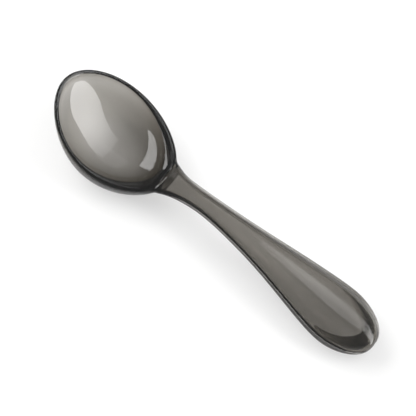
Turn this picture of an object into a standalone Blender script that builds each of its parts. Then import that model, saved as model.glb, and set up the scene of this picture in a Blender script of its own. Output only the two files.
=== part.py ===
"""Soup spoon in clear smoke-grey plastic: a bowl with a solid heel and a short spigot, a hollow
handle made of two shells, and an end insert that locks the shells at the butt.

X runs along the spoon with the bowl at -X, Y across, Z up, table at Z = 0.
Sizes are in millimetres; s is the distance from the bowl's tip along X, and the handle's
stations are shares of the way from the neck's shoulder to the butt.
"""
import math

import bmesh
import bpy

MM = 0.001
LENGTH = 180.0
GAP = 0.3

# Bowl outline and rim heights; the egg outline is cut short where the neck begins
BOWL_LENGTH = 64.0
BOWL_HALF_WIDTH = 24.25
OUTLINE_EGG = 0.040
OUTLINE_TAPER = -0.086
HEEL_S = 61.0
RIM_HEIGHT = 14.78
RIM_SHEER = 3.80
RIM_TILT = 0.207
BOWL_WALL = 1.8
HEEL_WALL = 7.5
LIP_WIDTH = 2.6
LIP_ROUND = 1.2
LIP_SWELL = 0.3
LIP_EDGE = 0.6
BOWL_SEGMENTS = 24

# Bowl rows: share of the outline, share of the height at the sides and heel, and at the tip.
# The floor lies towards the heel, and the inside is rounder than the outside.
OUTER_ROWS = ((0.990, 0.72, 0.95), (0.945, 0.42, 0.83), (0.820, 0.17, 0.62), (0.580, 0.03, 0.30),
              (0.300, 0.0, 0.05))
INNER_ROWS = ((0.973, 0.68, 0.90), (0.868, 0.37, 0.70), (0.680, 0.13, 0.42), (0.450, 0.0, 0.15),
              (0.250, 0.0, 0.03))
FLOOR_SHIFT = 7.0
INNER_DISH = 0.55

# Neck and spigot
NECK_LENGTH = 1.8
SHOULDER_S = HEEL_S + NECK_LENGTH
SPIGOT_LENGTH = 2.5
NECK_POINTS = 12
HEEL_LIFT = 1.6

# Handle stations: share of the handle, half width, half height, centre height
HANDLE_STATIONS = (
    (-0.0154, 9.60, 3.6, 10.69),
    (0.0276, 7.20, 3.2, 11.29),
    (0.0859, 5.59, 3.1, 12.62),
    (0.1540, 5.13, 3.2, 13.90),
    (0.2980, 6.09, 3.8, 14.14),
    (0.4266, 7.90, 4.6, 13.23),
    (0.5597, 10.41, 5.5, 11.53),
    (0.6783, 12.80, 6.4, 9.32),
    (0.7970, 14.51, 7.0, 7.45),
    (0.8985, 14.56, 7.1, 6.82),
    (1.0100, 14.56, 7.1, 6.82),
)
WIDTH_ROUND = 24.0
HEIGHT_ROUND = 12.0
ROUND_POWER = 2.3
HANDLE_WALL = 1.6
SIDE_WALL = 2.4
HANDLE_RINGS = 40
SHELL_SEGMENTS = 14

# End insert inside the butt, a horseshoe with its opening towards the neck
INSERT_LENGTH = 26.0
INSERT_BACK = 6.0
INSERT_HORN = 0.6
INSERT_RINGS = 32
INSERT_STEPS = 6

SMOKE_GREY = (0.30, 0.29, 0.275, 1.0)
PLASTIC_IOR = 1.49


def clear_scene():
    for item in list(bpy.data.objects):
        bpy.data.objects.remove(item, do_unlink=True)


def curve_bends(points, column):
    """Second derivatives of the smooth curve through one column of the stations."""
    count = len(points)
    steps = [points[i + 1][0] - points[i][0] for i in range(count - 1)]
    rises = [(points[i + 1][column] - points[i][column]) / steps[i] for i in range(count - 1)]
    weights = [0.0]
    values = [0.0]
    for i in range(1, count - 1):
        pivot = 2 * (steps[i - 1] + steps[i]) - steps[i - 1] * weights[-1]
        values.append((6 * (rises[i] - rises[i - 1]) - steps[i - 1] * values[-1]) / pivot)
        weights.append(steps[i] / pivot)
    bends = [0.0] * count
    for i in range(count - 2, 0, -1):
        bends[i] = values[i] - weights[i] * bends[i + 1]
    return bends


BENDS = {column: curve_bends(HANDLE_STATIONS, column) for column in (1, 2, 3)}


def station(s, column):
    """Smooth value of one handle column at distance s from the tip."""
    share = (s - SHOULDER_S) / (LENGTH - SHOULDER_S)
    rows = HANDLE_STATIONS
    i = 0
    while i < len(rows) - 2 and share > rows[i + 1][0]:
        i += 1
    step = rows[i + 1][0] - rows[i][0]
    a = (rows[i + 1][0] - share) / step
    b = 1 - a
    bends = BENDS[column]
    bow = ((a ** 3 - a) * bends[i] + (b ** 3 - b) * bends[i + 1]) * step * step / 6
    return a * rows[i][column] + b * rows[i + 1][column] + bow


def rounded(s, end, length):
    """Share of the full size left at s where the last length before end is rounded off."""
    t = min(max((s - (end - length)) / length, 0.0), 1.0)
    return max(1.0 - t ** ROUND_POWER, 0.0) ** (1.0 / ROUND_POWER)


def handle_section(s, side, top):
    """Half width, half height and centre height of the handle, taken in at the sides and the top."""
    end = LENGTH - top
    width = (station(s, 1) - side) * rounded(s, end, WIDTH_ROUND - top)
    height = (station(s, 2) - top) * rounded(s, end, HEIGHT_ROUND - top)
    return width, height, station(s, 3)


def handle_distances(start, end, count):
    """Distances along the handle, closing up towards the rounded end."""
    bend = end - HEIGHT_ROUND
    straight = int(count * 0.6)
    curve = count - straight
    first = [start + (bend - start) * i / straight for i in range(straight)]
    turn = [bend + (end - bend) * math.sin(0.5 * math.pi * i / curve) for i in range(curve)]
    return first + turn


def new_object(name, bm, material):
    mesh = bpy.data.meshes.new(name)
    bmesh.ops.recalc_face_normals(bm, faces=bm.faces)
    bm.to_mesh(mesh)
    bm.free()
    item = bpy.data.objects.new(name, mesh)
    bpy.context.scene.collection.objects.link(item)
    mesh.materials.append(material)
    for polygon in mesh.polygons:
        polygon.use_smooth = True
    return item


def clear_plastic(name):
    material = bpy.data.materials.new(name)
    material.use_nodes = True
    shader = material.node_tree.nodes["Principled BSDF"]
    shader.inputs["Base Color"].default_value = SMOKE_GREY
    shader.inputs["Roughness"].default_value = 0.04
    shader.inputs["IOR"].default_value = PLASTIC_IOR
    shader.inputs["Transmission Weight"].default_value = 1.0
    return material


def vertex(bm, s, y, z):
    return bm.verts.new(((s - LENGTH / 2) * MM, y * MM, z * MM))


def rim_height(s):
    half = BOWL_LENGTH / 2
    q = (s - half) / half
    return RIM_HEIGHT + RIM_SHEER * q * q - RIM_TILT * (s - half)


def outline(theta, inset, heel_inset, share):
    """Plan point of the bowl outline; the share shrinks it towards the bowl's floor."""
    c = math.cos(theta)
    half = (BOWL_LENGTH - inset - heel_inset) / 2
    # Control rings are drawn a little large because subdivision pulls them inwards
    swell = 6.0 / (4.0 + 2.0 * math.cos(2 * math.pi / BOWL_SEGMENTS))
    across = (BOWL_HALF_WIDTH - inset) * swell * share
    egg = 1 + OUTLINE_EGG * c + OUTLINE_TAPER * c * c
    s = inset + half + FLOOR_SHIFT * (1 - share) - half * swell * share * c
    return min(s, HEEL_S), across * math.sin(theta) * egg


def bowl_ring(bm, inset, heel_inset, lip_drop, floor=0.0, row=(1.0, 1.0, 1.0), dish=0.0):
    share, side_rise, tip_rise = row
    ring = []
    for j in range(BOWL_SEGMENTS):
        theta = 2 * math.pi * j / BOWL_SEGMENTS
        s, y = outline(theta, inset, heel_inset, share)
        top = rim_height(outline(theta, inset, heel_inset, 1.0)[0]) - lip_drop
        tipness = ((1 + math.cos(theta)) / 2) ** 3
        rise = side_rise + (tip_rise - side_rise) * tipness + dish * share * share * (1 - share)
        ring.append(vertex(bm, s, y, floor + (top - floor) * rise))
    return ring


def bridge(bm, ring_a, ring_b):
    count = len(ring_a)
    return [
        bm.faces.new((ring_a[i], ring_a[(i + 1) % count], ring_b[(i + 1) % count], ring_b[i]))
        for i in range(count)
    ]


def cap_fan(bm, ring, centre):
    """Quads from a ring to a centre point, two ring edges to each quad."""
    count = len(ring)
    for i in range(0, count, 2):
        bm.faces.new((ring[i], ring[(i + 1) % count], ring[(i + 2) % count], centre))


def neck_loop(bm, s, width, height, centre):
    # Control points of an ellipse, enlarged so that the smooth curve has its true size
    step = 2 * math.pi / NECK_POINTS
    swell = 6.0 / (4.0 + 2.0 * math.cos(step))
    loop = []
    for k in range(NECK_POINTS):
        angle = step * (k + 1)
        loop.append(vertex(bm, s, width * swell * math.cos(angle), centre + height * swell * math.sin(angle)))
    return loop


def build_bowl(material):
    bm = bmesh.new()
    crease = bm.edges.layers.float.new("crease_edge")
    lip_lift = LIP_ROUND / 4
    lip_outer = bowl_ring(bm, LIP_EDGE, LIP_EDGE, -lip_lift)
    lip_inner = bowl_ring(bm, LIP_WIDTH - LIP_EDGE, HEEL_WALL - LIP_EDGE, -lip_lift)
    outer = [bowl_ring(bm, -LIP_SWELL, -LIP_SWELL, LIP_ROUND)]
    inner = [bowl_ring(bm, LIP_WIDTH, HEEL_WALL, LIP_ROUND)]
    for row in OUTER_ROWS:
        outer.append(bowl_ring(bm, 0.0, 0.0, LIP_ROUND, 0.0, row))
    for row in INNER_ROWS:
        inner.append(bowl_ring(bm, BOWL_WALL, HEEL_WALL, LIP_ROUND, BOWL_WALL, row, INNER_DISH))
    bridge(bm, lip_inner, inner[0])
    bridge(bm, lip_outer, lip_inner)
    bridge(bm, lip_outer, outer[0])
    for ring_a, ring_b in zip(inner, inner[1:]):
        bridge(bm, ring_a, ring_b)
    heel = BOWL_SEGMENTS // 2
    open_faces = []
    for row, (ring_a, ring_b) in enumerate(zip(outer, outer[1:])):
        faces = bridge(bm, ring_a, ring_b)
        if row < 2:
            open_faces += faces[heel - 2:heel + 2]
    cap_fan(bm, outer[-1], vertex(bm, BOWL_LENGTH / 2 + FLOOR_SHIFT, 0.0, 0.0))
    middle = (BOWL_LENGTH + BOWL_WALL - HEEL_WALL) / 2
    cap_fan(bm, inner[-1], vertex(bm, middle + FLOOR_SHIFT, 0.0, BOWL_WALL))
    # The neck grows out of the outer wall at the heel
    near, far = heel - 2, heel + 2
    root = outer[0][near:far + 1] + [outer[1][far]] + outer[2][near:far + 1][::-1] + [outer[1][near]]
    bmesh.ops.delete(bm, geom=open_faces, context="FACES")
    for j in range(heel - 1, heel + 2):
        outer[0][j].co.z += HEEL_LIFT * MM
        lip_outer[j].co.z += HEEL_LIFT * MM
    flare_s = HEEL_S + NECK_LENGTH / 3
    end_s = SHOULDER_S + SPIGOT_LENGTH
    side, top = SIDE_WALL + GAP, HANDLE_WALL + GAP
    flare = neck_loop(bm, flare_s, *handle_section(flare_s, 0.0, 0.0))
    shoulder = neck_loop(bm, SHOULDER_S, *handle_section(SHOULDER_S, 0.0, 0.0))
    spigot_root = neck_loop(bm, SHOULDER_S, *handle_section(SHOULDER_S, side, top))
    spigot_end = neck_loop(bm, end_s, *handle_section(end_s, side, top))
    for loop_a, loop_b in ((root, flare), (flare, shoulder), (shoulder, spigot_root), (spigot_root, spigot_end)):
        bridge(bm, loop_a, loop_b)
    cap_fan(bm, spigot_end, vertex(bm, end_s, 0.0, station(end_s, 3)))
    for loop in (shoulder, spigot_root, spigot_end):
        for i, point in enumerate(loop):
            edge = bm.edges.get((point, loop[(i + 1) % NECK_POINTS]))
            edge[crease] = 1.0
    item = new_object("bowl", bm, material)
    smooth = item.modifiers.new("smooth", "SUBSURF")
    smooth.levels = 2
    smooth.render_levels = 2
    return item


def shell_arc(bm, s, side, top, upward):
    """Half an ellipse of the handle above or below the seam, kept half a gap off it."""
    width, height, centre = handle_section(s, side, top)
    start = math.asin(min(GAP / 2 / height, 1.0))
    arc = []
    for i in range(SHELL_SEGMENTS + 1):
        angle = start + (math.pi - 2 * start) * i / SHELL_SEGMENTS
        # The butt's underside is a little flat where it rests on the table
        z = max(centre + upward * height * math.sin(angle), 0.0)
        arc.append(vertex(bm, s, width * math.cos(angle), z))
    return arc


def strip(bm, arcs):
    for arc_a, arc_b in zip(arcs, arcs[1:]):
        for i in range(len(arc_a) - 1):
            bm.faces.new((arc_a[i], arc_a[i + 1], arc_b[i + 1], arc_b[i]))


def build_shell(name, upward, material):
    bm = bmesh.new()
    start = SHOULDER_S + GAP
    outer = [shell_arc(bm, s, 0.0, 0.0, upward) for s in handle_distances(start, LENGTH, HANDLE_RINGS)]
    inner = [shell_arc(bm, s, SIDE_WALL, HANDLE_WALL, upward)
             for s in handle_distances(start, LENGTH - HANDLE_WALL, HANDLE_RINGS)]
    strip(bm, outer)
    strip(bm, inner)
    seam = station(LENGTH, 3) + upward * GAP / 2
    outer_end = vertex(bm, LENGTH, 0.0, seam)
    inner_end = vertex(bm, LENGTH - HANDLE_WALL, 0.0, seam)
    for arc, end in ((outer[-1], outer_end), (inner[-1], inner_end)):
        for i in range(SHELL_SEGMENTS):
            bm.faces.new((arc[i], arc[i + 1], end))
    # Seam faces on both edges and the front edge at the neck
    for edge in (0, -1):
        for k in range(HANDLE_RINGS - 1):
            bm.faces.new((outer[k][edge], outer[k + 1][edge], inner[k + 1][edge], inner[k][edge]))
        bm.faces.new((outer[-1][edge], outer_end, inner_end, inner[-1][edge]))
    for i in range(SHELL_SEGMENTS):
        bm.faces.new((outer[0][i], outer[0][i + 1], inner[0][i + 1], inner[0][i]))
    return new_object(name, bm, material)


def insert_ring(bm, turn):
    """Upright slice of the horseshoe: a flat inner wall and the handle's cavity outside it."""
    side, top = SIDE_WALL + GAP, HANDLE_WALL + GAP
    horn = LENGTH - INSERT_LENGTH
    end = LENGTH - top
    bow = math.sin(turn)
    inner_s = horn + (end - INSERT_BACK - horn) * bow
    inner_y = (handle_section(horn, side, top)[0] - INSERT_HORN) * math.cos(turn)
    outer_s = horn + (end - horn) * bow
    outer_y = math.copysign(handle_section(outer_s, side, top)[0], math.cos(turn))
    upper = []
    lower = []
    for k in range(INSERT_STEPS):
        part = math.sin(0.5 * math.pi * k / INSERT_STEPS)
        s = inner_s + (outer_s - inner_s) * part
        y = inner_y + (outer_y - inner_y) * part
        width, height, centre = handle_section(s, side, top)
        rise = height * math.sqrt(max(1 - (y / width) ** 2, 0.0))
        upper.append(vertex(bm, s, y, centre + rise))
        lower.append(vertex(bm, s, y, centre - rise))
    tip = vertex(bm, outer_s, outer_y, station(outer_s, 3))
    return upper + [tip] + lower[::-1]


def build_insert(material):
    bm = bmesh.new()
    rings = [insert_ring(bm, math.pi * i / INSERT_RINGS) for i in range(INSERT_RINGS + 1)]
    for ring_a, ring_b in zip(rings, rings[1:]):
        bridge(bm, ring_a, ring_b)
    bm.faces.new(rings[0])
    bm.faces.new(rings[-1])
    return new_object("end_insert", bm, material)


clear_scene()
build_bowl(clear_plastic("bowl_smoke_plastic"))
build_shell("handle_upper_shell", 1, clear_plastic("upper_shell_smoke_plastic"))
build_shell("handle_lower_shell", -1, clear_plastic("lower_shell_smoke_plastic"))
build_insert(clear_plastic("insert_smoke_plastic"))
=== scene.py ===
import math

import bmesh
import bpy
from mathutils import Matrix, Vector


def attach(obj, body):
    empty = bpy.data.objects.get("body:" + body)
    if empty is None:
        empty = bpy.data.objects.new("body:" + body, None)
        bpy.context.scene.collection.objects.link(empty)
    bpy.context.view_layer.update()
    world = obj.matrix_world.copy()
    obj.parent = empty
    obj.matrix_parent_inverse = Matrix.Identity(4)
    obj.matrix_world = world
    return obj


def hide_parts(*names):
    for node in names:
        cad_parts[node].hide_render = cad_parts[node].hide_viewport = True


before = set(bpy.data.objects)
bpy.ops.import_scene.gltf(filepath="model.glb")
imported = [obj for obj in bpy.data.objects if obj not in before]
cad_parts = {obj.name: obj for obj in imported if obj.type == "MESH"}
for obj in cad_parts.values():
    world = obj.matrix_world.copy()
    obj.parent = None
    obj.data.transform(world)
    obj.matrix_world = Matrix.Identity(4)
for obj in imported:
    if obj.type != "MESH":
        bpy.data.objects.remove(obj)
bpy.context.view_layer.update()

# Sizes of the spoon in millimetres; s runs from the bowl's tip along the spoon
MM = 0.001
LENGTH = 180.0

# Bowl: egg outline, rim heights, walls and lip
BOWL_LENGTH = 64.0
BOWL_HALF_WIDTH = 24.25
OUTLINE_EGG = 0.040
OUTLINE_TAPER = -0.086
HEEL_S = 61.0
RIM_HEIGHT = 14.73
RIM_SHEER = 3.80
RIM_TILT = 0.207
BOWL_WALL = 1.8
HEEL_WALL = 6.8
LIP_WIDTH = 2.6
LIP_ROUND = 0.9
LIP_SWELL = 0.20
LIP_EDGE = 0.3
BOWL_SEGMENTS = 24
BOWL_SMOOTHING = 3
TIP_POWER = 3

# Bowl rows: share of the outline, share of the height at the sides and heel, and at the tip
OUTER_ROWS = ((0.990, 0.72, 0.95), (0.945, 0.42, 0.83), (0.820, 0.17, 0.62), (0.580, 0.03, 0.30),
              (0.300, 0.0, 0.05), (0.120, 0.0, 0.005), (0.050, 0.0, 0.0))
INNER_ROWS = ((0.973, 0.68, 0.90), (0.868, 0.37, 0.70), (0.680, 0.13, 0.42), (0.450, 0.0, 0.15),
              (0.250, 0.0, 0.03), (0.120, 0.0, 0.005), (0.050, 0.0, 0.0))
BOWL_FLOOR_SHIFT = 7.0
INNER_DISH = 0.55

# Neck and spigot
NECK_LENGTH = 1.8
SHOULDER_S = HEEL_S + NECK_LENGTH
SPIGOT_LENGTH = 2.5
NECK_POINTS = 12
NECK_MIDDLE = 0.55
HEEL_LIFT = 1.6

# Handle stations: share of the handle, half width, half height, centre height
HALF_WIDTH, HALF_HEIGHT, CENTRE = 1, 2, 3
HANDLE_STATIONS = (
    (-0.0154, 9.60, 3.6, 10.69),
    (0.0276, 7.20, 3.2, 11.29),
    (0.0859, 5.59, 3.1, 12.62),
    (0.1540, 5.13, 3.2, 13.90),
    (0.2980, 6.09, 3.8, 14.14),
    (0.4266, 7.90, 4.6, 13.23),
    (0.5597, 10.41, 5.5, 11.53),
    (0.6783, 12.80, 6.4, 9.32),
    (0.7970, 14.51, 7.0, 7.45),
    (0.8985, 14.56, 7.1, 6.82),
    (1.0100, 14.56, 7.1, 6.82),
)
WIDTH_ROUND = 24.0
HEIGHT_ROUND = 12.0
ROUND_POWER = 2.3
STRAIGHT_SHARE = 0.6
TIP_GAP = 0.01
HANDLE_WALL = 1.6
SIDE_WALL = 2.4
LEAST_HEIGHT = 0.05
SHELL_RINGS = 120
SHELL_SEGMENTS = 40
EDGE_BEVEL = 0.03
EDGE_ANGLE = 55

# Ridge along the seam of the two shells
RIDGE_IN = 0.6
RIDGE_OUT = 0.3
RIDGE_HALF = 0.55
RIDGE_GROWTH = 1.5
RIDGE_START = 14.0
RIDGE_END = 20.0
RIDGE_FADE = 4.0
RIDGE_COVER = 1.1
RIDGE_STEP = 2.0 / SHELL_SEGMENTS

# Fits between the pieces; below zero they overlap and look joined
FIT = -0.03
INSERT_FIT = 0.15
SEAM = -0.04

# Horseshoe insert in the butt
INSERT_LENGTH = 26.0
INSERT_BACK = 6.0
INSERT_HORN = 0.6
INSERT_RINGS = 64
INSERT_STEPS = 12

# Small ring on top of the butt
RING_S = 172.6
RING_LEAN = 0.2
RING_RADIUS = 1.4
RING_THICK = 0.36
RING_SINK = 0.13
RING_SEGMENTS = 40
RING_SIDES = 14

# Meshes, in metres and degrees
MERGE_DISTANCE = 1e-6
ON_MIDDLE = 1e-9
SMOOTH_ANGLE = 38

# Plastic: tint, densities of the tint, size and depth of the surface's slow changes
PLASTIC_IOR = 1.49
SMOKE_TINT = (0.325, 0.298, 0.249, 1.0)
BOWL_DENSITY = 660.0
SHELL_DENSITY = 690.0
INSERT_DENSITY = 430.0
BOWL_MOTTLE = 30.0
SHELL_MOTTLE = 40.0
INSERT_MOTTLE = 60.0
MOTTLE_DETAIL = 3.0
MOTTLE_LOW, MOTTLE_HIGH = 0.3, 0.7
TINT_LOW = (0.95, 0.945, 0.94, 1.0)
TINT_HIGH = (1.0, 0.998, 0.995, 1.0)
GLOSS_LOW, GLOSS_HIGH = 0.0, 0.03
BUMP_STRENGTH = 0.02
BUMP_DEPTH = 0.0004

# Floor and background
FLOOR_SIZE = 6.0
FLOOR_DROP = 0.0002
FLOOR_PAPER = (0.88, 0.88, 0.875, 1.0)
FLOOR_WHITE = 0.5
WORLD_LIGHT = 0.5

# Panels of light: name, centre, turn, length and width in metres, watts, share of light at the near end
PANELS = (
    ("right_panel", (1.38, 0.63, 0.532), (0.0, 0.35, 0.0), 2.9, 0.66, 33.0, 0.15),
    ("left_panel", (-0.92, -0.16, 0.56), (0.0, -0.85, 0.0), 0.75, 1.28, 16.0, 1.0),
    ("back_panel", (0.0, 0.95, 1.15), (-0.69, 0.0, 0.0), 0.9, 0.5, 0.8, 1.0),
)
PANEL_FADE = 0.45

# Camera: angles in degrees, distances in metres, lens in pixels of the picture, sensor in millimetres
CAMERA_AZIMUTH = 8.231
CAMERA_ELEVATION = 61.770
CAMERA_ROLL = 30.609
CAMERA_DISTANCE = 1.50714
CAMERA_AIM = (-0.005638, 0.002849, 0.0074)
LENS_PIXELS = 3386.84
PICTURE_PIXELS = 416
SENSOR_WIDTH = 36.0
NEAR_CLIP = 0.01


# Profile curves of the handle
def curve_bends(points, column):
    """Second derivatives of a natural cubic curve through one column of the stations."""
    count = len(points)
    steps = [points[i + 1][0] - points[i][0] for i in range(count - 1)]
    rises = [(points[i + 1][column] - points[i][column]) / steps[i] for i in range(count - 1)]
    weights = [0.0]
    values = [0.0]
    for i in range(1, count - 1):
        pivot = 2 * (steps[i - 1] + steps[i]) - steps[i - 1] * weights[-1]
        values.append((6 * (rises[i] - rises[i - 1]) - steps[i - 1] * values[-1]) / pivot)
        weights.append(steps[i] / pivot)
    bends = [0.0] * count
    for i in range(count - 2, 0, -1):
        bends[i] = values[i] - weights[i] * bends[i + 1]
    return bends


BENDS = {column: curve_bends(HANDLE_STATIONS, column) for column in (HALF_WIDTH, HALF_HEIGHT, CENTRE)}


def station(s, column):
    """One column of the handle's stations, read off its smooth curve."""
    share = (s - SHOULDER_S) / (LENGTH - SHOULDER_S)
    rows = HANDLE_STATIONS
    i = 0
    while i < len(rows) - 2 and share > rows[i + 1][0]:
        i += 1
    step = rows[i + 1][0] - rows[i][0]
    a = (rows[i + 1][0] - share) / step
    b = 1 - a
    bends = BENDS[column]
    bow = ((a ** 3 - a) * bends[i] + (b ** 3 - b) * bends[i + 1]) * step * step / 6
    return a * rows[i][column] + b * rows[i + 1][column] + bow


def rounded(s, end, length):
    """Share of the full section left as the handle rounds off towards its end."""
    t = min(max((s - (end - length)) / length, 0.0), 1.0)
    return max(1.0 - t ** ROUND_POWER, 0.0) ** (1.0 / ROUND_POWER)


def handle_section(s, side, top):
    """Half width, half height and centre height of the handle, taken in at the sides and the top."""
    end = LENGTH - top
    width = (station(s, HALF_WIDTH) - side) * rounded(s, end, WIDTH_ROUND - top)
    height = (station(s, HALF_HEIGHT) - top) * rounded(s, end, HEIGHT_ROUND - top)
    return width, height, station(s, CENTRE)


def eased(distance, length):
    """A smooth rise from nought to one over a length."""
    t = min(max(distance / length, 0.0), 1.0)
    return t * t * (3.0 - 2.0 * t)


def ridge_share(s):
    """How far the seam's ridge stands out: flush at the neck and at the butt's tip."""
    return eased(s - SHOULDER_S, RIDGE_START) * eased(LENGTH - s, RIDGE_FADE)


def ridge_thickness(s):
    """Half the ridge's thickness: growing along the handle, then thin again at the butt's tip."""
    along = (s - SHOULDER_S) / (LENGTH - SHOULDER_S)
    return RIDGE_HALF + RIDGE_GROWTH * along * along * eased(LENGTH - s, RIDGE_END)


def place(s, y, z):
    """A point in metres in the shared frame."""
    return Vector(((s - LENGTH / 2) * MM, y * MM, z * MM))


# Modelling helpers
def clear_selection():
    bpy.ops.object.select_all(action="DESELECT")


def open_ring(points):
    """Start a piece as a circle with its points at the given places, left in edit mode."""
    clear_selection()
    bpy.ops.mesh.primitive_circle_add(vertices=len(points), radius=1.0)
    piece = bpy.context.active_object
    for vert, point in zip(piece.data.vertices, points):
        vert.co = point
    bpy.ops.object.mode_set(mode="EDIT")
    bpy.ops.mesh.select_mode(type="EDGE")
    bpy.ops.mesh.select_all(action="SELECT")
    return piece


def grow(before, places):
    """Extrude what is selected and move each new point from its old place to its new one."""
    bpy.ops.mesh.extrude_region()
    data = bpy.context.edit_object.data
    mesh = bmesh.from_edit_mesh(data)
    moves = {tuple(old): new for old, new in zip(before, places)}
    for vert in [v for v in mesh.verts if v.select]:
        vert.co = moves[tuple(vert.co)]
    bmesh.update_edit_mesh(data)
    return places


def close_ring(point):
    """Close the selected ring with a fan to one point."""
    bpy.ops.mesh.extrude_region()
    bpy.ops.mesh.merge(type="CENTER")
    data = bpy.context.edit_object.data
    mesh = bmesh.from_edit_mesh(data)
    for vert in [v for v in mesh.verts if v.select]:
        vert.co = point
    bmesh.update_edit_mesh(data)


def loft(rings, first_point, last_point):
    """A closed piece through a row of rings, with a fan at both ends, left in edit mode."""
    piece = open_ring(rings[0])
    for before, after in zip(rings, rings[1:]):
        grow(before, after)
    close_ring(last_point)
    bpy.ops.mesh.select_all(action="DESELECT")
    bpy.ops.mesh.select_non_manifold()
    close_ring(first_point)
    bpy.ops.mesh.select_all(action="SELECT")
    bpy.ops.mesh.normals_make_consistent(inside=False)
    return piece


def crease(loops):
    """Keep the given loops of points sharp under subdivision."""
    data = bpy.context.edit_object.data
    mesh = bmesh.from_edit_mesh(data)
    layer = mesh.edges.layers.float.get("crease_edge")
    if layer is None:
        layer = mesh.edges.layers.float.new("crease_edge")
    for loop in loops:
        sides = {frozenset((tuple(a), tuple(b))) for a, b in zip(loop, loop[1:] + loop[:1])}
        for edge in mesh.edges:
            if frozenset(tuple(v.co) for v in edge.verts) in sides:
                edge[layer] = 1.0
    bmesh.update_edit_mesh(data)


def finish_piece(piece, name, node, material, modifiers):
    """Apply the modifiers, smooth the piece, name it, hang it under the root body and hide the CAD node
    it stands in for.
    """
    bpy.ops.object.mode_set(mode="OBJECT")
    clear_selection()
    piece.select_set(True)
    bpy.context.view_layer.objects.active = piece
    for kind, values in modifiers:
        modifier = piece.modifiers.new(kind.lower(), kind)
        for key, value in values.items():
            setattr(modifier, key, value)
        bpy.ops.object.modifier_apply(modifier=modifier.name)
    bpy.ops.object.shade_smooth_by_angle(angle=math.radians(SMOOTH_ANGLE))
    piece.name = name
    piece.data.name = name
    piece.data.materials.clear()
    piece.data.materials.append(material)
    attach(piece, "root")
    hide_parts(node)
    return piece


# Bowl with its neck and spigot
def rim_height(s):
    """Height of the rim: a sheer to both ends, and a tilt that lifts the tip."""
    half = BOWL_LENGTH / 2
    q = (s - half) / half
    return RIM_HEIGHT + RIM_SHEER * q * q - RIM_TILT * (s - half)


def smoothing_swell(points):
    """How far out a ring of points stands so that its smoothed curve has the wanted size."""
    return 6.0 / (4.0 + 2.0 * math.cos(2 * math.pi / points))


def outline(theta, inset, heel_inset, share):
    """A point on the bowl's egg outline, taken in all round and by more at the heel."""
    c = math.cos(theta)
    half = (BOWL_LENGTH - inset - heel_inset) / 2
    swell = smoothing_swell(BOWL_SEGMENTS)
    across = (BOWL_HALF_WIDTH - inset) * swell * share
    egg = 1 + OUTLINE_EGG * c + OUTLINE_TAPER * c * c
    s = inset + half + BOWL_FLOOR_SHIFT * (1 - share) - half * swell * share * c
    return min(s, HEEL_S), across * math.sin(theta) * egg


def bowl_ring(inset, heel_inset, lip_drop, floor=0.0, row=(1.0, 1.0, 1.0), dish=0.0):
    """One ring of the bowl, between its floor and the lip's height."""
    share, side_rise, tip_rise = row
    ring = []
    for j in range(BOWL_SEGMENTS):
        theta = 2 * math.pi * j / BOWL_SEGMENTS
        s, y = outline(theta, inset, heel_inset, share)
        top = rim_height(outline(theta, inset, heel_inset, 1.0)[0]) - lip_drop
        tipness = ((1 + math.cos(theta)) / 2) ** TIP_POWER
        rise = side_rise + (tip_rise - side_rise) * tipness + dish * share * share * (1 - share)
        ring.append(place(s, y, floor + (top - floor) * rise))
    return ring


def neck_cap(s, width, height, centre):
    """Fifteen points of the neck's end face: an ellipse of twelve and three on its middle line."""
    step = 2 * math.pi / NECK_POINTS
    swell = smoothing_swell(NECK_POINTS)
    loop = []
    for k in range(NECK_POINTS):
        angle = step * (k + 1)
        loop.append(place(s, width * swell * math.cos(angle), centre + height * swell * math.sin(angle)))
    middle = [place(s, y * width, centre) for y in (NECK_MIDDLE, 0.0, -NECK_MIDDLE)]
    return loop[0:5] + [loop[11]] + middle + [loop[5]] + loop[10:5:-1], loop


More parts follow.
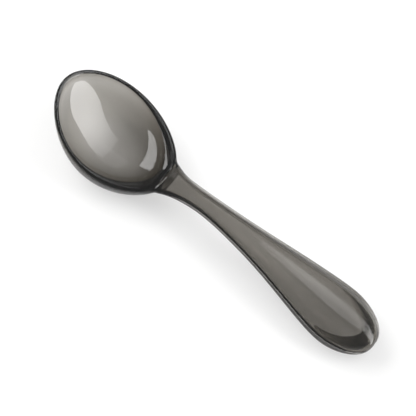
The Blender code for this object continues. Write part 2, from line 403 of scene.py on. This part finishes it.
def make_bowl(material):
    """The bowl as rings from the foot over the lip to the floor, with the neck drawn out of it."""
    lip_outer = bowl_ring(LIP_EDGE, LIP_EDGE, -LIP_ROUND / 4)
    lip_inner = bowl_ring(LIP_WIDTH - LIP_EDGE, HEEL_WALL - LIP_EDGE, -LIP_ROUND / 4)
    outer = [bowl_ring(-LIP_SWELL, -LIP_SWELL, LIP_ROUND)]
    inner = [bowl_ring(LIP_WIDTH, HEEL_WALL, LIP_ROUND)]
    for row in OUTER_ROWS:
        outer.append(bowl_ring(0.0, 0.0, LIP_ROUND, 0.0, row))
    for row in INNER_ROWS:
        inner.append(bowl_ring(BOWL_WALL, HEEL_WALL, LIP_ROUND, BOWL_WALL, row, INNER_DISH))
    heel = BOWL_SEGMENTS // 2
    for j in range(heel - 1, heel + 2):
        outer[0][j].z += HEEL_LIFT * MM
        lip_outer[j].z += HEEL_LIFT * MM
    middle = (BOWL_LENGTH + BOWL_WALL - HEEL_WALL) / 2
    foot = place(BOWL_LENGTH / 2 + BOWL_FLOOR_SHIFT, 0, 0)
    deepest = place(middle + BOWL_FLOOR_SHIFT, 0, BOWL_WALL)
    piece = loft(outer[::-1] + [lip_outer, lip_inner] + inner, foot, deepest)
    # The neck is drawn out of the faces at the heel
    root = [outer[row][j] for row in range(3) for j in range(heel - 2, heel + 3)]
    spots = {tuple(point) for point in root}
    bpy.ops.mesh.select_all(action="DESELECT")
    bpy.ops.mesh.select_mode(type="FACE")
    data = bpy.context.edit_object.data
    mesh = bmesh.from_edit_mesh(data)
    for face in mesh.faces:
        if all(tuple(v.co) in spots for v in face.verts):
            face.select_set(True)
    bmesh.update_edit_mesh(data)
    side, top = SIDE_WALL + FIT, HANDLE_WALL + FIT
    flare_s = HEEL_S + NECK_LENGTH / 3
    end_s = SHOULDER_S + SPIGOT_LENGTH
    sharp = []
    before = root
    steps = ((flare_s, 0, False), (SHOULDER_S, 0, True), (SHOULDER_S, 1, True), (end_s, 1, True))
    for s, inset, keep in steps:
        cap, loop = neck_cap(s, *handle_section(s, side * inset, top * inset))
        before = grow(before, cap)
        if keep:
            sharp.append(loop)
    crease(sharp)
    smooth = ("SUBSURF", {"levels": BOWL_SMOOTHING, "render_levels": BOWL_SMOOTHING})
    return finish_piece(piece, "spoon_bowl", "bowl", material, [smooth])


# Handle shells and end insert
def handle_distance(share, end):
    """Distance of a ring along the handle, with the rings closing up where it rounds off."""
    start = SHOULDER_S + FIT
    bend = end - HEIGHT_ROUND
    if share < STRAIGHT_SHARE:
        return start + (bend - start) * share / STRAIGHT_SHARE
    return bend + HEIGHT_ROUND * math.sin(0.5 * math.pi * (share - STRAIGHT_SHARE) / (1 - STRAIGHT_SHARE))


def shell_point(share, across, upward, side, top):
    """A point on a shell's lining, kept half the seam away from the middle plane."""
    seam = SEAM / 2
    s = handle_distance(share, LENGTH - top)
    width, height, centre = handle_section(s, side, top)
    height = max(height, LEAST_HEIGHT)
    start = math.asin(seam / height)
    angle = start + (math.pi - 2 * start) * (1 - across) / 2
    return place(s, width * math.cos(angle), max(centre + upward * height * math.sin(angle), 0.0))


def skin_point(share, across, upward):
    """A point on a shell's outside: the ridge at the seam, then the rounded body."""
    seam = SEAM / 2
    edge = 1 - abs(across)
    s = handle_distance(share, LENGTH - TIP_GAP)
    grown = ridge_share(s)
    end = LENGTH - TIP_GAP - RIDGE_IN * grown
    body_s = handle_distance(share, end)
    width = (station(body_s, HALF_WIDTH) - RIDGE_IN * grown) * rounded(body_s, end, WIDTH_ROUND)
    thick = ridge_thickness(s)
    height = max(station(body_s, HALF_HEIGHT) * rounded(body_s, end, HEIGHT_ROUND), RIDGE_COVER * thick)
    root = math.asin(thick / height)
    centre = station(body_s, CENTRE)
    if edge < 1.5 * RIDGE_STEP:
        stand = RIDGE_OUT * grown * eased(LENGTH - s, RIDGE_END)
        reach = (station(s, HALF_WIDTH) + stand) * rounded(s, LENGTH - TIP_GAP, WIDTH_ROUND)
        rise = seam if edge < 0.5 * RIDGE_STEP else thick
        return place(s, math.copysign(reach, across), centre + upward * rise)
    part = (edge - 2 * RIDGE_STEP) / (1 - 2 * RIDGE_STEP)
    angle = root + (0.5 * math.pi - root) * part
    y = math.copysign(width * math.cos(angle), across)
    return place(body_s, y, max(centre + upward * height * math.sin(angle), 0.0))


def ring_mark():
    """The small raised ring that the moulding leaves on top of the butt."""
    bpy.ops.object.mode_set(mode="OBJECT")
    clear_selection()
    rise = station(RING_S, HALF_HEIGHT) * rounded(RING_S, LENGTH - RIDGE_IN, HEIGHT_ROUND)
    top = place(RING_S, 0, station(RING_S, CENTRE) + rise - RING_SINK)
    half_step = math.pi / RING_SEGMENTS
    bpy.ops.mesh.primitive_torus_add(major_segments=RING_SEGMENTS, minor_segments=RING_SIDES,
                                     major_radius=RING_RADIUS * MM, minor_radius=RING_THICK * MM,
                                     location=top, rotation=(0, RING_LEAN, half_step))
    bpy.ops.object.transform_apply(location=True, rotation=True, scale=True)
    return bpy.context.active_object


def clear_tip():
    """Take away the wall that stands folded on the middle plane inside the tip."""
    data = bpy.context.edit_object.data
    mesh = bmesh.from_edit_mesh(data)
    folded = [face for face in mesh.faces if all(abs(vert.co.y) < ON_MIDDLE for vert in face.verts)]
    bmesh.ops.delete(mesh, geom=folded, context="FACES")
    bmesh.update_edit_mesh(data)


def make_shell(name, node, upward, material):
    """Half of the hollow handle, as a skin that is drawn in to its lining."""
    clear_selection()
    bpy.ops.mesh.primitive_grid_add(x_subdivisions=SHELL_RINGS, y_subdivisions=SHELL_SEGMENTS, size=2.0)
    piece = bpy.context.active_object
    skin = []
    lining = []
    for vert in piece.data.vertices:
        share, across = (vert.co.x + 1) / 2, vert.co.y
        vert.co = skin_point(share, across, upward)
        skin.append(vert.co.copy())
        lining.append(shell_point(share, across, upward, SIDE_WALL, HANDLE_WALL))
    bpy.ops.object.mode_set(mode="EDIT")
    bpy.ops.mesh.select_mode(type="FACE")
    bpy.ops.mesh.select_all(action="SELECT")
    grow(skin, lining)
    bpy.ops.mesh.select_all(action="SELECT")
    bpy.ops.mesh.remove_doubles(threshold=MERGE_DISTANCE)
    clear_tip()
    bpy.ops.mesh.select_all(action="SELECT")
    bpy.ops.mesh.normals_make_consistent(inside=False)
    edge = ("BEVEL", {"width": EDGE_BEVEL * MM, "segments": 1, "limit_method": "ANGLE",
                      "angle_limit": math.radians(EDGE_ANGLE)})
    if upward < 0:
        return finish_piece(piece, name, node, material, [edge])
    ring = ring_mark()
    join = ("BOOLEAN", {"operation": "UNION", "solver": "EXACT", "object": ring})
    shell = finish_piece(piece, name, node, material, [edge, join])
    bpy.data.objects.remove(ring)
    return shell


def insert_ring(turn):
    """Upright slice of the horseshoe: a flat inner wall and the handle's cavity outside it."""
    side, top = SIDE_WALL + INSERT_FIT, HANDLE_WALL + INSERT_FIT
    horn = LENGTH - INSERT_LENGTH
    end = LENGTH - top
    bow = math.sin(turn)
    inner_s = horn + (end - INSERT_BACK - horn) * bow
    inner_y = (handle_section(horn, side, top)[0] - INSERT_HORN) * math.cos(turn)
    outer_s = horn + (end - horn) * bow
    outer_y = math.copysign(handle_section(outer_s, side, top)[0], math.cos(turn))
    upper = []
    lower = []
    for k in range(INSERT_STEPS):
        part = math.sin(0.5 * math.pi * k / INSERT_STEPS)
        s = inner_s + (outer_s - inner_s) * part
        y = inner_y + (outer_y - inner_y) * part
        width, height, centre = handle_section(s, side, top)
        rise = height * math.sqrt(max(1 - (y / width) ** 2, 0.0))
        upper.append(place(s, y, centre + rise))
        lower.append(place(s, y, centre - rise))
    return upper + [place(outer_s, outer_y, station(outer_s, CENTRE))] + lower[::-1]


def make_insert(material):
    """The horseshoe that fills the cavity at the butt."""
    rings = [insert_ring(math.pi * i / INSERT_RINGS) for i in range(INSERT_RINGS + 1)]
    tips = [sum(ring, Vector()) / len(ring) for ring in (rings[0], rings[-1])]
    piece = loft(rings, tips[0], tips[1])
    return finish_piece(piece, "butt_insert", "end_insert", material, [])


# Materials
def moulded_surface_group():
    """Slow, faint changes in gloss and tint that a moulded clear piece has."""
    group = bpy.data.node_groups.new("moulded_surface", "ShaderNodeTree")
    sockets = group.interface
    for name in ("Scale", "Gloss Low", "Gloss High"):
        sockets.new_socket(name, in_out="INPUT", socket_type="NodeSocketFloat")
    sockets.new_socket("Colour", in_out="OUTPUT", socket_type="NodeSocketColor")
    for name in ("Roughness", "Height"):
        sockets.new_socket(name, in_out="OUTPUT", socket_type="NodeSocketFloat")
    nodes, links = group.nodes, group.links
    inputs = nodes.new("NodeGroupInput")
    outputs = nodes.new("NodeGroupOutput")
    place_node = nodes.new("ShaderNodeTexCoord")
    noise = nodes.new("ShaderNodeTexNoise")
    noise.inputs["Detail"].default_value = MOTTLE_DETAIL
    links.new(place_node.outputs["Object"], noise.inputs["Vector"])
    links.new(inputs.outputs["Scale"], noise.inputs["Scale"])
    gloss = nodes.new("ShaderNodeMapRange")
    links.new(noise.outputs["Fac"], gloss.inputs["Value"])
    gloss.inputs["From Min"].default_value = MOTTLE_LOW
    gloss.inputs["From Max"].default_value = MOTTLE_HIGH
    links.new(inputs.outputs["Gloss Low"], gloss.inputs["To Min"])
    links.new(inputs.outputs["Gloss High"], gloss.inputs["To Max"])
    tint = nodes.new("ShaderNodeValToRGB")
    tint.color_ramp.elements[0].color = TINT_LOW
    tint.color_ramp.elements[1].color = TINT_HIGH
    links.new(noise.outputs["Fac"], tint.inputs["Fac"])
    links.new(tint.outputs["Color"], outputs.inputs["Colour"])
    links.new(gloss.outputs["Result"], outputs.inputs["Roughness"])
    links.new(noise.outputs["Fac"], outputs.inputs["Height"])
    return group


def smoke_plastic(name, surface, density, scale):
    """Clear plastic with a smoke tint all through it."""
    material = bpy.data.materials.new(name)
    material.use_nodes = True
    nodes, links = material.node_tree.nodes, material.node_tree.links
    shader = nodes["Principled BSDF"]
    output = nodes["Material Output"]
    shader.inputs["IOR"].default_value = PLASTIC_IOR
    shader.inputs["Transmission Weight"].default_value = 1.0
    group = nodes.new("ShaderNodeGroup")
    group.node_tree = surface
    group.inputs["Scale"].default_value = scale
    group.inputs["Gloss Low"].default_value = GLOSS_LOW
    group.inputs["Gloss High"].default_value = GLOSS_HIGH
    links.new(group.outputs["Colour"], shader.inputs["Base Color"])
    links.new(group.outputs["Roughness"], shader.inputs["Roughness"])
    bump = nodes.new("ShaderNodeBump")
    bump.inputs["Strength"].default_value = BUMP_STRENGTH
    bump.inputs["Distance"].default_value = BUMP_DEPTH
    links.new(group.outputs["Height"], bump.inputs["Height"])
    links.new(bump.outputs["Normal"], shader.inputs["Normal"])
    smoke = nodes.new("ShaderNodeVolumeAbsorption")
    smoke.inputs["Color"].default_value = SMOKE_TINT
    smoke.inputs["Density"].default_value = density
    links.new(smoke.outputs["Volume"], output.inputs["Volume"])
    return material


def white_floor_material():
    """White paper that takes the shadow, and shows whiter to the eye and through clear plastic."""
    material = bpy.data.materials.new("white_floor")
    material.use_nodes = True
    nodes, links = material.node_tree.nodes, material.node_tree.links
    nodes.remove(nodes["Principled BSDF"])
    output = nodes["Material Output"]
    paper = nodes.new("ShaderNodeBsdfDiffuse")
    paper.inputs["Color"].default_value = FLOOR_PAPER
    white = nodes.new("ShaderNodeEmission")
    path = nodes.new("ShaderNodeLightPath")
    seen = nodes.new("ShaderNodeMath")
    seen.operation = "MAXIMUM"
    links.new(path.outputs["Is Camera Ray"], seen.inputs[0])
    links.new(path.outputs["Is Glossy Ray"], seen.inputs[1])
    level = nodes.new("ShaderNodeMath")
    level.operation = "MULTIPLY"
    level.inputs[1].default_value = FLOOR_WHITE
    links.new(seen.outputs[0], level.inputs[0])
    both = nodes.new("ShaderNodeMixShader")
    links.new(level.outputs[0], both.inputs[0])
    links.new(paper.outputs[0], both.inputs[1])
    links.new(white.outputs[0], both.inputs[2])
    links.new(both.outputs[0], output.inputs["Surface"])
    return material


# Floor, light and camera
def make_floor():
    """A wide sheet of white paper just under the spoon."""
    clear_selection()
    bpy.ops.mesh.primitive_plane_add(size=FLOOR_SIZE)
    floor = bpy.context.active_object
    floor.name = "studio_floor"
    for vert in floor.data.vertices:
        vert.co.z -= FLOOR_DROP
    floor.data.materials.append(white_floor_material())


def soft_panel(name, centre, turn, size_x, size_y, watts, near_share):
    """A tilted panel of light; the share dims it at its end next to the spoon."""
    light = bpy.data.lights.new(name, "AREA")
    light.shape = "RECTANGLE"
    light.size = size_x
    light.size_y = size_y
    light.energy = watts
    item = bpy.data.objects.new(name, light)
    bpy.context.scene.collection.objects.link(item)
    item.location = centre
    item.rotation_euler = turn
    light.use_nodes = True
    nodes, links = light.node_tree.nodes, light.node_tree.links
    where = nodes.new("ShaderNodeNewGeometry")
    split = nodes.new("ShaderNodeSeparateXYZ")
    links.new(where.outputs["Parametric"], split.inputs[0])
    fade = nodes.new("ShaderNodeMapRange")
    fade.inputs["From Min"].default_value = 0.0
    fade.inputs["From Max"].default_value = PANEL_FADE
    fade.inputs["To Min"].default_value = near_share
    fade.inputs["To Max"].default_value = 1.0
    links.new(split.outputs["X"], fade.inputs["Value"])
    links.new(fade.outputs["Result"], nodes["Emission"].inputs["Strength"])


def make_camera():
    """A far camera with a long lens, rolled as the photo is."""
    azimuth, elevation = math.radians(CAMERA_AZIMUTH), math.radians(CAMERA_ELEVATION)
    roll = math.radians(CAMERA_ROLL)
    back = Vector((math.sin(azimuth) * math.cos(elevation), -math.cos(azimuth) * math.cos(elevation),
                   math.sin(elevation)))
    right = Vector((math.cos(azimuth), math.sin(azimuth), 0.0))
    up = back.cross(right)
    across = right * math.cos(roll) + up * math.sin(roll)
    above = up * math.cos(roll) - right * math.sin(roll)
    data = bpy.data.cameras.new("photo_camera")
    data.sensor_width = SENSOR_WIDTH
    data.lens = LENS_PIXELS / PICTURE_PIXELS * SENSOR_WIDTH
    data.clip_start = NEAR_CLIP
    item = bpy.data.objects.new("photo_camera", data)
    bpy.context.scene.collection.objects.link(item)
    basis = Matrix((across, above, back)).transposed()
    position = Vector(CAMERA_AIM) + back * CAMERA_DISTANCE
    item.matrix_world = Matrix.Translation(position) @ basis.to_4x4()
    bpy.context.scene.camera = item


def make_world():
    """Even light from all round, shown as white to the camera."""
    world = bpy.data.worlds.new("studio_world")
    bpy.context.scene.world = world
    world.use_nodes = True
    nodes, links = world.node_tree.nodes, world.node_tree.links
    sky = nodes["Background"]
    sky.inputs["Color"].default_value = (1.0, 1.0, 1.0, 1.0)
    path = nodes.new("ShaderNodeLightPath")
    strength = nodes.new("ShaderNodeMapRange")
    strength.inputs["To Min"].default_value = WORLD_LIGHT
    strength.inputs["To Max"].default_value = 1.0
    links.new(path.outputs["Is Camera Ray"], strength.inputs["Value"])
    links.new(strength.outputs["Result"], sky.inputs["Strength"])


# The spoon and its studio
surface = moulded_surface_group()
make_bowl(smoke_plastic("bowl_smoke_plastic_finish", surface, BOWL_DENSITY, BOWL_MOTTLE))
make_shell("upper_shell", "handle_upper_shell", 1,
           smoke_plastic("upper_shell_finish", surface, SHELL_DENSITY, SHELL_MOTTLE))
make_shell("lower_shell", "handle_lower_shell", -1,
           smoke_plastic("lower_shell_finish", surface, SHELL_DENSITY, SHELL_MOTTLE))
make_insert(smoke_plastic("insert_finish", surface, INSERT_DENSITY, INSERT_MOTTLE))
make_floor()
make_world()
for panel in PANELS:
    soft_panel(*panel)
make_camera()
bpy.context.scene.view_settings.view_transform = "Standard"
